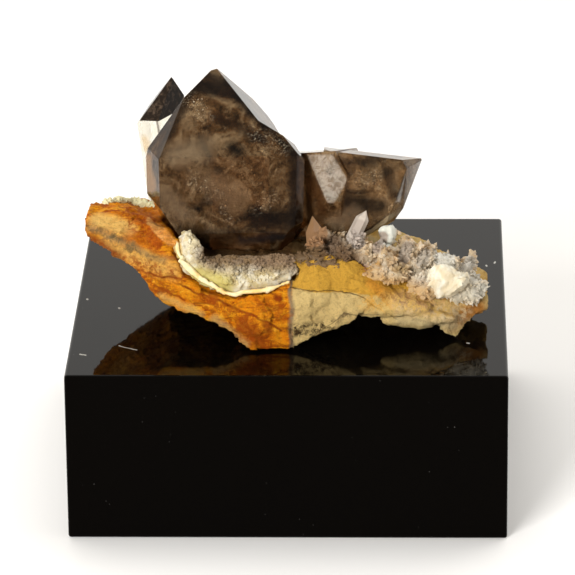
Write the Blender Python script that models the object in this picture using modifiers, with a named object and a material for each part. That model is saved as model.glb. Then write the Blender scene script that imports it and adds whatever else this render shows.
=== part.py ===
"""Smoky quartz specimen on a polished black block.

Units are metres in the scene, millimetres in the values below. +Z is up and the front faces -Y.
The origin is the centre of the block's bottom face.
"""
import math
import random

import bmesh
import bpy
from mathutils import Euler, Matrix, Vector, noise

MM = 0.001

# Driving dimensions, in millimetres
BLOCK_WIDTH = 50.0
BLOCK_HEIGHT = 20.0
BLOCK_EDGE = 0.35
GAP = 0.3
BLANK_SIZE = 60.0

# A crystal is a blank cut by flat faces. Each face has the azimuth and the upward tilt of its
# outward normal, in degrees, and its distance from the crystal's centre, in millimetres.
MAIN_CENTRE = (-8.0, -4.0, 36.0)
MAIN_FACES = {
    "front prism": (-88, 2, 6.14),
    "front tip": (-88, 39, 7.64),
    "right prism": (-38, 0, 10.61),
    "left prism": (-158, 0, 8.51),
    "left tip": (-157, 37, 9.58),
    "right tip": (10, 40, 9.37),
    "right back prism": (22, -2, 7.31),
    "left back prism": (142, -1, 5.31),
    "left flank": (145, 26, 6.61),
    "blunt end": (130, 67, 12.26),
    "back tip": (84, 45, 9.93),
    "back corner": (26, 15, 8.61),
    "back prism": (82, 0, 6.67),
    "front foot": (-88, -39, 7.73),
    "right foot": (-35, -38, 10.59),
    "left foot": (-160, -31, 7.91),
    "right back foot": (22, -38, 10.02),
    "back foot": (82, -38, 9.27),
    "left back foot": (142, -38, 9.36),
    "underside": (0, -90, 9.5),
}
# The right tip face is stepped: above the shoulder it lies further in.
STEP_FACES = {
    "inner right tip": (9, 40, 8.33),
    "shoulder": (34, 51, 7.62),
}

LEFT_CENTRE = (-15.0, 7.0, 38.0)
LEFT_FACES = {
    "front tip": (-100, 37, 3.39),
    "front prism": (-94, -1, 2.53),
    "left tip": (172, 36, 2.98),
    "right tip": (26, 35, 4.49),
    "right prism": (-30, 0, 0.93),
    "left prism": (-160, -7, 3.07),
    "back prism": (90, 0, 2.2),
    "back tip": (92, 38, 4.16),
    "right back prism": (35, 0, 3.32),
    "left back prism": (158, -5, 2.26),
    "underside": (0, -90, 10.0),
}

RIGHT_CENTRE = (10.0, -2.0, 34.0)
RIGHT_FACES = {
    "front": (-83, 6, 3.2),
    "top": (60, 74, 4.02),
    "bright sliver": (-45, -8, 3.7),
    "right end": (-23, -7, 3.77),
    "top corner": (-19, 26, 5.15),
    "right back": (60, -42, 1.25),
    "lower right": (-46, -9, 3.7),
    "lower back": (69, -55, 1.8),
    "lower front": (-46, -45, 4.47),
    "top back": (95, 24, 2.54),
    "underside": (0, -90, 7.0),
    "left cut": (180, 0, 6.0),
}

FROSTED_CENTRE = (5.0, -3.0, 34.0)
FROSTED_FACES = {
    "frosted front": (-72, 14, 4.06),
    "top": (100, 71.5, 4.75),
    "brown left": (-116, -4, 4.19),
    "left cut": (180, 0, 4.8),
    "lower front": (-82, -26, 3.65),
    "upper right": (-10, 26, 3.31),
    "lower right": (-14, -8, 1.94),
    "back": (100, 0, 3.94),
    "underside": (0, -90, 6.5),
}

# Small points: base centre, width, length, lean to the right and lean to the back in degrees
RIGHT_POINTS = [
    ((6.3, -9.0, 28.6), 1.9, 6.2, 27, 3),
    ((3.1, -8.6, 29.6), 2.5, 3.4, -6, 10),
    ((8.9, -9.2, 28.6), 2.0, 3.2, 30, 20),
]
CRUST_POINT_COUNT = 34
CRUST_SEED = 5
DRUSE_POINT_COUNT = 46
DRUSE_SEED = 11

# The rock is a loft of cross sections along X. A section goes from its lower front edge up the
# front, over the top and back along the underside: seven (y, z) corners.
ROCK_SECTIONS = {
    -23.2: [(-8.0, 30.4), (-8.6, 31.4), (-6.0, 32.6), (-3.0, 32.4), (0.0, 31.0), (1.5, 29.8), (-4.0, 29.2)],
    -19.0: [(-10.5, 28.2), (-10.0, 30.4), (-6.5, 32.2), (-2.0, 31.9), (5.0, 29.8), (6.5, 27.5), (-2.0, 26.4)],
    -14.0: [(-13.0, 24.0), (-12.8, 28.6), (-9.5, 31.8), (-3.0, 31.0), (6.5, 30.0), (9.0, 25.5), (1.0, 22.4)],
    -9.0: [(-15.5, 23.1), (-15.6, 25.6), (-14.4, 27.8), (-9.0, 29.0), (7.0, 29.6), (9.6, 24.0), (5.5, 20.4)],
    -4.0: [(-17.8, 20.3), (-17.6, 24.0), (-15.6, 27.4), (-9.5, 28.8), (7.0, 29.2), (10.0, 24.8), (4.0, 21.6)],
    0.0: [(-17.5, 20.3), (-17.6, 25.2), (-15.2, 29.6), (-9.0, 29.4), (6.5, 28.8), (9.5, 25.0), (2.0, 22.6)],
    5.0: [(-16.5, 22.1), (-16.0, 26.7), (-13.6, 30.0), (-8.0, 29.6), (6.0, 28.2), (8.5, 25.2), (1.0, 22.8)],
    10.0: [(-15.5, 25.0), (-15.2, 26.6), (-12.6, 29.0), (-6.0, 28.6), (5.0, 27.0), (7.0, 25.0), (0.0, 24.0)],
    15.0: [(-14.8, 22.8), (-14.2, 24.4), (-12.4, 26.0), (-6.0, 26.4), (3.5, 25.6), (5.0, 24.0), (-2.0, 22.6)],
    19.0: [(-13.9, 20.5), (-13.4, 22.8), (-12.0, 24.2), (-7.0, 25.0), (1.0, 24.4), (2.5, 23.0), (-5.0, 21.6)],
    22.6: [(-11.0, 22.6), (-10.8, 23.4), (-9.0, 24.2), (-6.0, 24.4), (-3.0, 24.0), (-2.2, 23.2), (-5.0, 22.4)],
}
ROCK_ROUGHNESS = 0.7
ROCK_GRAIN = 3.2
ROCK_FLOOR = BLOCK_HEIGHT + GAP

# The rim of the pale crust under the large crystal, and the patch that the druse covers
CRUST_RIM = [(-11.8, -12.2, 31.2), (-10.8, -13.4, 29.0), (-8.6, -14.4, 27.8), (-5.6, -15.0, 27.3),
             (-2.6, -14.9, 27.8), (0.0, -14.2, 28.4)]
CRUST_RADIUS = 1.4
DRUSE_RIDGE = [(4.0, -9.6, 29.2), (8.0, -9.8, 29.0), (12.0, -9.2, 27.8), (16.0, -8.4, 26.2), (20.6, -7.4, 24.8)]
DRUSE_RADIUS = 1.7
DRUSE_DEPTH = 7.0


def metres(point):
    return Vector(point) * MM


def make_material(name, color, roughness, alpha=1.0):
    material = bpy.data.materials.new(name)
    material.use_nodes = True
    shader = material.node_tree.nodes["Principled BSDF"]
    shader.inputs["Base Color"].default_value = (*color, 1.0)
    shader.inputs["Roughness"].default_value = roughness
    shader.inputs["Metallic"].default_value = 0.0
    shader.inputs["Alpha"].default_value = alpha
    return material


def make_object(name, mesh, collection):
    obj = bpy.data.objects.new(name, mesh)
    collection.objects.link(obj)
    return obj


def mesh_from(bm, name):
    bmesh.ops.recalc_face_normals(bm, faces=bm.faces)
    mesh = bpy.data.meshes.new(name)
    bm.to_mesh(mesh)
    bm.free()
    return mesh


def face_direction(azimuth, tilt):
    a = math.radians(azimuth)
    t = math.radians(tilt)
    return Vector((math.cos(a) * math.cos(t), math.sin(a) * math.cos(t), math.sin(t)))


def cut_blank(name, centre, faces, collection, growth=0.0):
    """Cut a cube down to a crystal, with every face moved out by growth."""
    bm = bmesh.new()
    middle = metres(centre)
    blank = Matrix.Translation(middle)
    bmesh.ops.create_cube(bm, size=BLANK_SIZE * MM, matrix=blank)
    for azimuth, tilt, distance in faces.values():
        normal = face_direction(azimuth, tilt)
        cut = bmesh.ops.bisect_plane(
            bm, geom=bm.verts[:] + bm.edges[:] + bm.faces[:], dist=1e-7,
            plane_co=middle + normal * (distance + growth) * MM, plane_no=normal, clear_outer=True)
        rim = [item for item in cut["geom_cut"] if isinstance(item, bmesh.types.BMEdge)]
        if rim:
            bmesh.ops.holes_fill(bm, edges=rim, sides=0)
    return make_object(name, mesh_from(bm, name), collection)


def make_point(name, base, width, length, lean_right, lean_back, collection, growth=0.0):
    """A small six-sided crystal with a pyramid end."""
    radius = (width / 2 + growth) * MM
    bm = bmesh.new()
    bmesh.ops.create_cone(bm, cap_ends=True, segments=6, radius1=radius, radius2=radius * 0.92,
                          depth=(length + growth) * MM)
    top = max(bm.faces, key=lambda face: face.calc_center_median().z)
    bmesh.ops.poke(bm, faces=[top], offset=radius * 1.15)
    bmesh.ops.translate(bm, verts=bm.verts, vec=(0, 0, length / 2 * MM))
    turn = Euler((math.radians(-lean_back), math.radians(lean_right), 0)).to_matrix()
    bmesh.ops.rotate(bm, verts=bm.verts, matrix=turn)
    bmesh.ops.translate(bm, verts=bm.verts, vec=metres(base))
    return make_object(name, mesh_from(bm, name), collection)


def bake(obj):
    """Apply an object's modifiers to its mesh."""
    graph = bpy.context.evaluated_depsgraph_get()
    mesh = bpy.data.meshes.new_from_object(obj.evaluated_get(graph))
    obj.modifiers.clear()
    obj.data = mesh
    return obj


def combine(obj, others, operation):
    """Join others to obj, or cut them from it, and remove them."""
    for other in others:
        boolean = obj.modifiers.new(operation.lower(), "BOOLEAN")
        boolean.object = other
        boolean.operation = operation
        boolean.solver = "EXACT"
        bake(obj)
    for other in others:
        bpy.data.objects.remove(other)
    return obj


def keep_largest(obj):
    """Remove loose crumbs that a cut leaves."""
    bm = bmesh.new()
    bm.from_mesh(obj.data)
    left = set(bm.faces)
    islands = []
    while left:
        stack = [left.pop()]
        island = []
        while stack:
            face = stack.pop()
            island.append(face)
            for edge in face.edges:
                for near in edge.link_faces:
                    if near in left:
                        left.remove(near)
                        stack.append(near)
        islands.append(island)
    islands.sort(key=lambda island: sum(face.calc_area() for face in island))
    for island in islands[:-1]:
        bmesh.ops.delete(bm, geom=island, context="FACES")
    bm.to_mesh(obj.data)
    bm.free()
    return obj


def thicker_copy(obj, collection, growth):
    """A closed copy of obj, grown by a little, to cut its socket."""
    copy = make_object(obj.name + "_socket", obj.data.copy(), collection)
    grow = copy.modifiers.new("grow", "DISPLACE")
    grow.strength = growth * MM
    grow.mid_level = 0.0
    shell = copy.modifiers.new("shell", "REMESH")
    shell.mode = "VOXEL"
    shell.voxel_size = 0.55 * MM
    return bake(copy)


def smooth_path(points, count):
    """Evenly numbered points along straight stages between the given ones."""
    path = []
    for i in range(count):
        t = i / (count - 1) * (len(points) - 1)
        k = min(int(t), len(points) - 2)
        path.append(Vector(points[k]).lerp(Vector(points[k + 1]), t - k))
    return path


def make_ridge(name, points, radius, collection):
    """A thick rounded ridge along a path, the ground that small crystals grow from."""
    curve = bpy.data.curves.new(name, "CURVE")
    curve.dimensions = "3D"
    curve.bevel_depth = radius * MM
    curve.bevel_resolution = 2
    curve.use_fill_caps = True
    spline = curve.splines.new("POLY")
    spline.points.add(len(points) - 1)
    for slot, point in zip(spline.points, points):
        slot.co = (*metres(point), 1.0)
    holder = make_object(name + "_path", curve, collection)
    graph = bpy.context.evaluated_depsgraph_get()
    mesh = bpy.data.meshes.new_from_object(holder.evaluated_get(graph))
    bpy.data.objects.remove(holder)
    bm = bmesh.new()
    bm.from_mesh(mesh)
    bmesh.ops.remove_doubles(bm, verts=bm.verts, dist=1e-6)
    return make_object(name, mesh_from(bm, name), collection)


def build_block(collection):
    bm = bmesh.new()
    size = Matrix.Diagonal((BLOCK_WIDTH * MM, BLOCK_WIDTH * MM, BLOCK_HEIGHT * MM, 1))
    bmesh.ops.create_cube(bm, size=1.0, matrix=size)
    block = make_object("display_block", mesh_from(bm, "display_block"), collection)
    block.location.z = BLOCK_HEIGHT / 2 * MM
    edge = block.modifiers.new("edge", "BEVEL")
    edge.width = BLOCK_EDGE * MM
    edge.segments = 2
    return block


def build_main(name, collection, growth=0.0):
    """The large crystal, with the step cut into its right tip face."""
    crystal = cut_blank(name, MAIN_CENTRE, MAIN_FACES, collection, growth)
    inner = STEP_FACES["inner right tip"]
    shoulder = STEP_FACES["shoulder"]
    bm = bmesh.new()
    middle = metres(MAIN_CENTRE)
    bmesh.ops.create_cube(bm, size=BLANK_SIZE * MM, matrix=Matrix.Translation(middle))
    for azimuth, tilt, distance in (inner, shoulder):
        normal = face_direction(azimuth, tilt)
        cut = bmesh.ops.bisect_plane(
            bm, geom=bm.verts[:] + bm.edges[:] + bm.faces[:], dist=1e-7,
            plane_co=middle + normal * (distance + growth) * MM, plane_no=normal, clear_inner=True)
        rim = [item for item in cut["geom_cut"] if isinstance(item, bmesh.types.BMEdge)]
        bmesh.ops.holes_fill(bm, edges=rim, sides=0)
    notch = make_object(name + "_notch", mesh_from(bm, "notch"), collection)
    return combine(crystal, [notch], "DIFFERENCE")


def build_right(name, collection, growth=0.0):
    """The right group: the blocky crystal, the frosted one and the small points, in one solid."""
    group = cut_blank(name, RIGHT_CENTRE, RIGHT_FACES, collection, growth)
    others = [cut_blank("frosted", FROSTED_CENTRE, FROSTED_FACES, collection, growth)]
    for base, width, length, lean_right, lean_back in RIGHT_POINTS:
        others.append(make_point("point", base, width, length, lean_right, lean_back, collection, growth))
    return combine(group, others, "UNION")


def build_crust(collection):
    """The pale crust: short stubby crystals on a ridge around the large crystal's foot."""
    chance = random.Random(CRUST_SEED)
    crust = make_ridge("quartz_crust", CRUST_RIM, CRUST_RADIUS, collection)
    points = []
    for place in smooth_path(CRUST_RIM, CRUST_POINT_COUNT):
        base = place + Vector((chance.uniform(-0.5, 0.5), chance.uniform(-0.4, 1.0), chance.uniform(-0.9, 0.5)))
        points.append(make_point("point", base, chance.uniform(0.9, 1.6), chance.uniform(1.1, 1.8),
                                 chance.uniform(-45, 45), chance.uniform(-75, 25), collection))
    return combine(crust, points, "UNION")


def build_druse(collection):
    """The small crystals on the right wing, on a flattened ridge."""
    chance = random.Random(DRUSE_SEED)
    druse = make_ridge("quartz_druse", DRUSE_RIDGE, DRUSE_RADIUS, collection)
    points = []
    for place in smooth_path(DRUSE_RIDGE, DRUSE_POINT_COUNT):
        spread = chance.uniform(-0.3, 1.0)
        drop = abs(spread) * 0.8
        base = place + Vector((chance.uniform(-0.6, 0.6), spread * DRUSE_DEPTH / 2 - 1.0, -drop - 0.6))
        points.append(make_point("point", base, chance.uniform(1.2, 2.4), chance.uniform(1.8, 3.2),
                                 chance.uniform(-40, 40), chance.uniform(-50, 30), collection))
    return combine(druse, points, "UNION")


def build_rock(collection):
    """Loft the rock's sections, roughen the skin and thin the mesh."""
    bm = bmesh.new()
    rings = []
    for x, corners in ROCK_SECTIONS.items():
        rings.append([bm.verts.new(metres((x, y, z))) for y, z in corners])
    for ring, following in zip(rings, rings[1:]):
        for i in range(len(ring)):
            j = (i + 1) % len(ring)
            bm.faces.new((ring[i], ring[j], following[j], following[i]))
    bm.faces.new(rings[0])
    bm.faces.new(list(reversed(rings[-1])))
    bmesh.ops.triangulate(bm, faces=bm.faces)
    bmesh.ops.subdivide_edges(bm, edges=bm.edges, cuts=3, use_grid_fill=True)
    bmesh.ops.recalc_face_normals(bm, faces=bm.faces)
    bm.normal_update()
    for vert in bm.verts:
        place = vert.co / (ROCK_GRAIN * MM)
        push = noise.noise(place) + 0.45 * noise.noise(place * 2.7)
        vert.co += vert.normal * push * ROCK_ROUGHNESS * MM
        vert.co.z = max(vert.co.z, ROCK_FLOOR * MM)
        vert.co.x = max(-23.6 * MM, min(vert.co.x, 22.9 * MM))
    rock = make_object("matrix", mesh_from(bm, "matrix"), collection)
    thin = rock.modifiers.new("thin", "DECIMATE")
    thin.ratio = 0.62
    return bake(rock)


def main():
    for obj in list(bpy.data.objects):
        bpy.data.objects.remove(obj)
    collection = bpy.data.collections.new("smoky_quartz")
    bpy.context.scene.collection.children.link(collection)
    tools = bpy.data.collections.new("cutters")
    bpy.context.scene.collection.children.link(tools)

    block = build_block(collection)
    crystal = build_main("main_crystal", collection)
    small = cut_blank("left_crystal", LEFT_CENTRE, LEFT_FACES, collection)
    group = build_right("right_crystals", collection)
    combine(group, [build_main("cutter", tools, GAP)], "DIFFERENCE")
    keep_largest(group)

    crust = build_crust(collection)
    combine(crust, [build_main("cutter", tools, GAP), build_right("cutter", tools, GAP)], "DIFFERENCE")
    keep_largest(crust)

    druse = build_druse(collection)
    cutters = [build_main("cutter", tools, GAP), build_right("cutter", tools, GAP),
               thicker_copy(crust, tools, GAP * 1.8)]
    combine(druse, cutters, "DIFFERENCE")
    keep_largest(druse)

    rock = build_rock(collection)
    cutters = [build_main("cutter", tools, GAP), build_right("cutter", tools, GAP),
               cut_blank("cutter", LEFT_CENTRE, LEFT_FACES, tools, GAP),
               thicker_copy(crust, tools, GAP * 1.8), thicker_copy(druse, tools, GAP * 1.8)]
    combine(rock, cutters, "DIFFERENCE")
    keep_largest(rock)

    looks = [
        (block, (0.012, 0.011, 0.010), 0.06, 1.0),
        (crystal, (0.17, 0.10, 0.05), 0.05, 0.75),
        (small, (0.30, 0.24, 0.18), 0.05, 0.6),
        (group, (0.20, 0.12, 0.07), 0.08, 0.75),
        (crust, (0.66, 0.60, 0.44), 0.35, 1.0),
        (druse, (0.62, 0.52, 0.42), 0.3, 1.0),
        (rock, (0.55, 0.22, 0.05), 0.85, 1.0),
    ]
    for obj, color, roughness, alpha in looks:
        obj.data.materials.clear()
        obj.data.materials.append(make_material(obj.name, color, roughness, alpha))


main()
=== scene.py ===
import math

import bmesh
import bpy
from mathutils import Matrix, Vector, noise


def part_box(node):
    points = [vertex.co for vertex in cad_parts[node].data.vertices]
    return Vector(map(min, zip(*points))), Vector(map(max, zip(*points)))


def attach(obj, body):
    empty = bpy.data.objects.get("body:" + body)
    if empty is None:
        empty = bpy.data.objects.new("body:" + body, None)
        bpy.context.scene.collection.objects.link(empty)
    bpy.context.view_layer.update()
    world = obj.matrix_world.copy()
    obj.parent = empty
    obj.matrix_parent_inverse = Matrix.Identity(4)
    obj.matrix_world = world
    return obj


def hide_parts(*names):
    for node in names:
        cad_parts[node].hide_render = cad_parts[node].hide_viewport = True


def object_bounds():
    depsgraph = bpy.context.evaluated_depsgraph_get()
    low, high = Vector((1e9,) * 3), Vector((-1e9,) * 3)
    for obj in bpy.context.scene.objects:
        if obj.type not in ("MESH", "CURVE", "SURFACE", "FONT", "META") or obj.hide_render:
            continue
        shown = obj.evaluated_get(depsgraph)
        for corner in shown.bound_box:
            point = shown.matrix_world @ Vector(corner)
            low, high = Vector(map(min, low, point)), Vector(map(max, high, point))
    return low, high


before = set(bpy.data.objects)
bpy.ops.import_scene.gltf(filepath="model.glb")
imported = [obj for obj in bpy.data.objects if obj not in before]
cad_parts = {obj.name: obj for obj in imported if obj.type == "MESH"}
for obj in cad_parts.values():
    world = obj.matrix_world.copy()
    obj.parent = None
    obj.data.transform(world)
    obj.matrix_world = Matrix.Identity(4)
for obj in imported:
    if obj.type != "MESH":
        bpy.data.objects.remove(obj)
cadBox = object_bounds()

mm = 0.001
sight = Vector((0.0277, 0.9289, -0.3692))  # the way the camera looks

surfaceInputs = {
    "roughness": "Roughness",
    "ior": "IOR",
    "shine": "Specular IOR Level",
    "clear": "Transmission Weight",
}

# A mark is: from, to, half width, soft edge (all mm), colour, strength.


class Shader:  # builds one node material
    def __init__(self, name):
        self.material = bpy.data.materials.new(name)
        self.material.use_nodes = True
        self.tree = self.material.node_tree
        self.surface = self.tree.nodes["Principled BSDF"]
        self.output = self.tree.nodes["Material Output"]
        self.coords = self.add("ShaderNodeTexCoord").outputs["Object"]
        self.where = self.coords
        self.flatten = 0.85  # share of the depth that painting leaves out

    def add(self, kind, **values):
        node = self.tree.nodes.new(kind)
        for key, value in values.items():
            setattr(node, key, value)
        return node

    def join(self, source, target):
        self.tree.links.new(source, target)

    def feed(self, node, name, value):
        socket = node.inputs[name]
        if isinstance(value, bpy.types.NodeSocket):
            self.join(value, socket)
        elif isinstance(value, tuple) and len(value) == 3 and socket.type == "RGBA":
            socket.default_value = (*value, 1.0)
        else:
            socket.default_value = value

    def math(self, kind, first, second=0.0, third=0.0):
        node = self.add("ShaderNodeMath", operation=kind)
        self.feed(node, 0, first)
        self.feed(node, 1, second)
        if kind == "MULTIPLY_ADD":
            self.feed(node, 2, third)
        return node.outputs[0]

    def vector(self, kind, first, second=None, scale=None, output="Vector"):
        node = self.add("ShaderNodeVectorMath", operation=kind)
        self.feed(node, 0, first)
        if second is not None:
            self.feed(node, 1, second)
        if scale is not None:
            self.feed(node, "Scale", scale)
        return node.outputs[output]

    def clouds(self, scale, detail=4.0, warp=0.0, roughness=0.55, output="Fac", vector=None):
        node = self.add("ShaderNodeTexNoise")
        self.join(vector or self.coords, node.inputs["Vector"])
        node.inputs["Scale"].default_value = scale
        node.inputs["Detail"].default_value = detail
        node.inputs["Distortion"].default_value = warp
        node.inputs["Roughness"].default_value = roughness
        return node.outputs[output]

    def cells(self, scale, output="Distance"):
        node = self.add("ShaderNodeTexVoronoi")
        self.join(self.coords, node.inputs["Vector"])
        node.inputs["Scale"].default_value = scale
        return node.outputs[output]

    def ramp(self, value, stops):
        node = self.add("ShaderNodeValToRGB")
        self.join(value, node.inputs["Fac"])
        elements = node.color_ramp.elements
        while len(elements) < len(stops):
            elements.new(0.5)
        for element, (place, color) in zip(elements, stops):
            shade = color if isinstance(color, tuple) else (color, color, color)
            element.position = place
            element.color = (*shade, 1.0)
        return node.outputs["Color"]

    def fade(self, value, full, none):  # 1 at full, 0 at none
        node = self.add("ShaderNodeMapRange")
        self.join(value, node.inputs["Value"])
        node.inputs["From Min"].default_value = full
        node.inputs["From Max"].default_value = none
        node.inputs["To Min"].default_value = 1.0
        node.inputs["To Max"].default_value = 0.0
        return node.outputs[0]

    def blend(self, amount, first, second):
        node = self.add("ShaderNodeMix", data_type="RGBA")
        self.feed(node, 0, amount)
        self.feed(node, 6, first)
        self.feed(node, 7, second)
        return node.outputs[2]

    def axis(self, name):
        node = self.add("ShaderNodeSeparateXYZ")
        self.join(self.coords, node.inputs[0])
        return node.outputs[name]

    def wander(self, scale, amount):  # lets painted edges wander by up to amount mm
        shift = self.vector("SUBTRACT", self.clouds(scale, detail=6, output="Color"), (0.5, 0.5, 0.5))
        moved = self.vector("ADD", self.vector("SCALE", shift, scale=2 * amount * mm), self.coords)
        depth = self.vector("DOT_PRODUCT", moved, tuple(sight), output="Value")
        back = self.vector("SCALE", tuple(sight), scale=self.math("MULTIPLY", depth, self.flatten))
        self.where = self.vector("SUBTRACT", moved, back)

    def flat(self, place):
        place = Vector(place) * mm
        return place - sight * place.dot(sight) * self.flatten

    def reach(self, start, end):  # distance from the line between two places, depth counting less
        first = self.flat(start)
        way = self.flat(end) - first
        out = self.vector("SUBTRACT", self.where, tuple(first))
        along = self.vector("DOT_PRODUCT", out, tuple(way / way.length_squared), output="Value")
        along = self.math("MINIMUM", self.math("MAXIMUM", along, 0.0), 1.0)
        nearest = self.vector("SCALE", tuple(way), scale=along)
        return self.vector("LENGTH", self.vector("SUBTRACT", out, nearest), output="Value")

    def zone(self, start, end, width, soft):  # 1 within width of the line, in mm
        return self.fade(self.reach(start, end), full=width * mm, none=(width + soft) * mm)

    def paint(self, color, marks, pattern=1.0):
        for start, end, width, soft, tint, amount in marks:
            near = self.math("MULTIPLY", self.zone(start, end, width, soft), amount)
            near = self.math("MULTIPLY", near, pattern)
            color = self.blend(near, color, tint)
        return color

    def facet(self, corners):  # 1 inside a flat outline of (x, z) corners in mm, clockwise
        inside = None
        for (x1, z1), (x2, z2) in zip(corners, corners[1:] + corners[:1]):
            outward = Vector((z1 - z2, 0.0, x2 - x1)).normalized()
            side = self.vector("DOT_PRODUCT", self.coords, tuple(outward), output="Value")
            side = self.math("SUBTRACT", side, outward.dot(Vector((x1, 0.0, z1))) * mm)
            inside = side if inside is None else self.math("MAXIMUM", inside, side)
        front = self.fade(self.axis("Y"), full=-3.4 * mm, none=-3.0 * mm)  # not on the back
        return self.math("MULTIPLY", self.fade(inside, full=-0.22 * mm, none=0.05 * mm), front)

    def bump(self, height, strength, distance):
        node = self.add("ShaderNodeBump")
        self.join(height, node.inputs["Height"])
        node.inputs["Strength"].default_value = strength
        node.inputs["Distance"].default_value = distance
        self.join(node.outputs["Normal"], self.surface.inputs["Normal"])

    def set(self, name, value):
        self.feed(self.surface, name, value)

    def finish(self, look):  # the plain surface values of a piece's dictionary
        for key, name in surfaceInputs.items():
            if key in look:
                self.set(name, look[key])
        return self.material


def stageReport(text):
    print("scene:", text)


def addObject(name, mesh):
    obj = bpy.data.objects.new(name, mesh)
    bpy.context.scene.collection.objects.link(obj)
    return obj


def meshObject(name, bm):  # makes an object and frees bm
    mesh = bpy.data.meshes.new(name)
    bm.to_mesh(mesh)
    bm.free()
    return addObject(name, mesh)


def plainMesh(obj):  # turns modifiers into a plain mesh
    graph = bpy.context.evaluated_depsgraph_get()
    mesh = bpy.data.meshes.new_from_object(obj.evaluated_get(graph))
    obj.modifiers.clear()
    obj.data = mesh
    return obj


def copyNode(node, name):  # a CAD node's shape, its triangles merged back to flat faces
    bm = bmesh.new()
    bm.from_mesh(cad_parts[node].data)
    bmesh.ops.remove_doubles(bm, verts=bm.verts, dist=1e-6)
    bmesh.ops.dissolve_limit(bm, angle_limit=math.radians(0.4), verts=bm.verts, edges=bm.edges)
    obj = meshObject(name, bm)
    for layer in list(obj.data.uv_layers):
        obj.data.uv_layers.remove(layer)
    obj.data.materials.clear()
    return obj


def bevelled(obj, width, steps=2):
    bevel = obj.modifiers.new("edge", "BEVEL")
    bevel.width = width * mm
    bevel.segments = steps
    bevel.limit_method = "ANGLE"
    bevel.angle_limit = math.radians(8)
    return plainMesh(obj)


def settle(obj, material, node=None):
    if material:
        obj.data.materials.clear()
        obj.data.materials.append(material)
    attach(obj, "root")
    if node:
        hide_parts(node)


def joined(body, parts):  # adds the meshes of parts to body
    bm = bmesh.new()
    bm.from_mesh(body.data)
    for part in parts:
        bm.from_mesh(part.data)
        bpy.data.objects.remove(part)
    bm.to_mesh(body.data)
    bm.free()
    return body


def ball(name, centre, half, steps):  # a ball stretched to its half sizes in mm
    bm = bmesh.new()
    shape = Matrix.Translation(Vector(centre) * mm) @ Matrix.Diagonal((*(Vector(half) * mm), 1.0))
    bmesh.ops.create_icosphere(bm, subdivisions=steps, radius=1.0, matrix=shape)
    return meshObject(name, bm)


def heaped(body, mounds):  # adds soft heaps for the remesh to merge
    return joined(body, [ball("mound", centre, half, 3) for centre, half in mounds])


def chipped(body, voxel, chips, box):  # remeshes a body and breaks its surface into flat chips
    shell = body.modifiers.new("shell", "REMESH")
    shell.mode = "VOXEL"
    shell.voxel_size = voxel * mm
    plainMesh(body)
    low, high = box
    tiltSpread, liftSpread = 9.7, 5.3  # each chip reads the noise at a place of its own
    liftShare = 0.1
    strength = 0.5
    shifts = [Vector((9.3, -1.5, -7.9)), Vector((0.0, 0.0, 0.0)), Vector((6.3, 11.7, -3.1))]
    places = []
    for vert in body.data.vertices:
        place = vert.co / mm
        lift = 0.0
        for size, slope in chips:
            centre = noise.voronoi(place / size)[1][0]
            tilt = Vector([noise.noise(centre * tiltSpread + shift) for shift in shifts]).normalized()
            lift += tilt.dot(place - centre * size) * slope
            lift += noise.noise(centre * liftSpread) * size * liftShare
        moved = vert.co + vert.normal * lift * strength * mm
        places.append([min(max(moved[i], low[i]), high[i]) for i in range(3)])
    for vert, place in zip(body.data.vertices, places):
        vert.co = place
    body.data.shade_smooth()
    return body


view = {
    "place": (14.9, -514.4, 225.5),  # mm
    "pitchDown": 21.69,  # degrees
    "yawLeft": 1.71,
    "rollRight": 0.58,
    "lens": 295.97,
    "sensor": 36.0,
}


def placeCamera():
    pitch = math.radians(view["pitchDown"])
    yaw = math.radians(-view["yawLeft"])
    roll = math.radians(-view["rollRight"])
    forward = Vector((math.sin(yaw) * math.cos(pitch), math.cos(yaw) * math.cos(pitch), -math.sin(pitch)))
    right = Vector((math.cos(yaw), -math.sin(yaw), 0.0))
    up = right.cross(forward)
    rolledRight = right * math.cos(roll) + up * math.sin(roll)
    rolledUp = up * math.cos(roll) - right * math.sin(roll)
    turn = Matrix((rolledRight, rolledUp, -forward)).transposed().to_4x4()
    camera = bpy.data.objects.new("camera", bpy.data.cameras.new("camera"))
    camera.data.lens = view["lens"]
    camera.data.sensor_width = view["sensor"]
    camera.data.clip_end = 20.0
    camera.matrix_world = Matrix.Translation(Vector(view["place"]) * mm) @ turn
    bpy.context.scene.collection.objects.link(camera)
    bpy.context.scene.camera = camera


studio = {
    "worldColor": (1.0, 0.972, 0.925),
    "frontStrength": 0.22,  # the world's light from the camera's side
    "backStrength": 1.1,
    "turnover": (-0.3, 0.7),  # Y of the light's direction, front to back
    "floorColor": (0.97, 0.95, 0.92),
    "floorRoughness": 0.9,
    "floorSize": 3.0,  # m
    "topPanelSize": 0.5,
    "topPanelPower": 1.5,
    "topPanelPlace": (0.05, 0.15, 0.5),
    "sidePanelSize": 0.25,
    "sidePanelPower": 4.0,
    "sidePanelPlace": (-0.25, -0.5, 0.25),
    "aim": (0, 0, 0.03),  # m, both panels point here
}


def addPanel(name, size, power, place):
    light = bpy.data.lights.new(name, "AREA")
    light.size = size
    light.energy = power
    lamp = bpy.data.objects.new(name, light)
    lamp.location = place
    aim = Vector(studio["aim"]) - Vector(place)
    lamp.rotation_euler = aim.to_track_quat("-Z", "Y").to_euler()
    lamp.visible_glossy = False  # soft light only, no panel mirrored in the facets
    lamp.visible_transmission = False
    bpy.context.scene.collection.objects.link(lamp)


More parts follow.
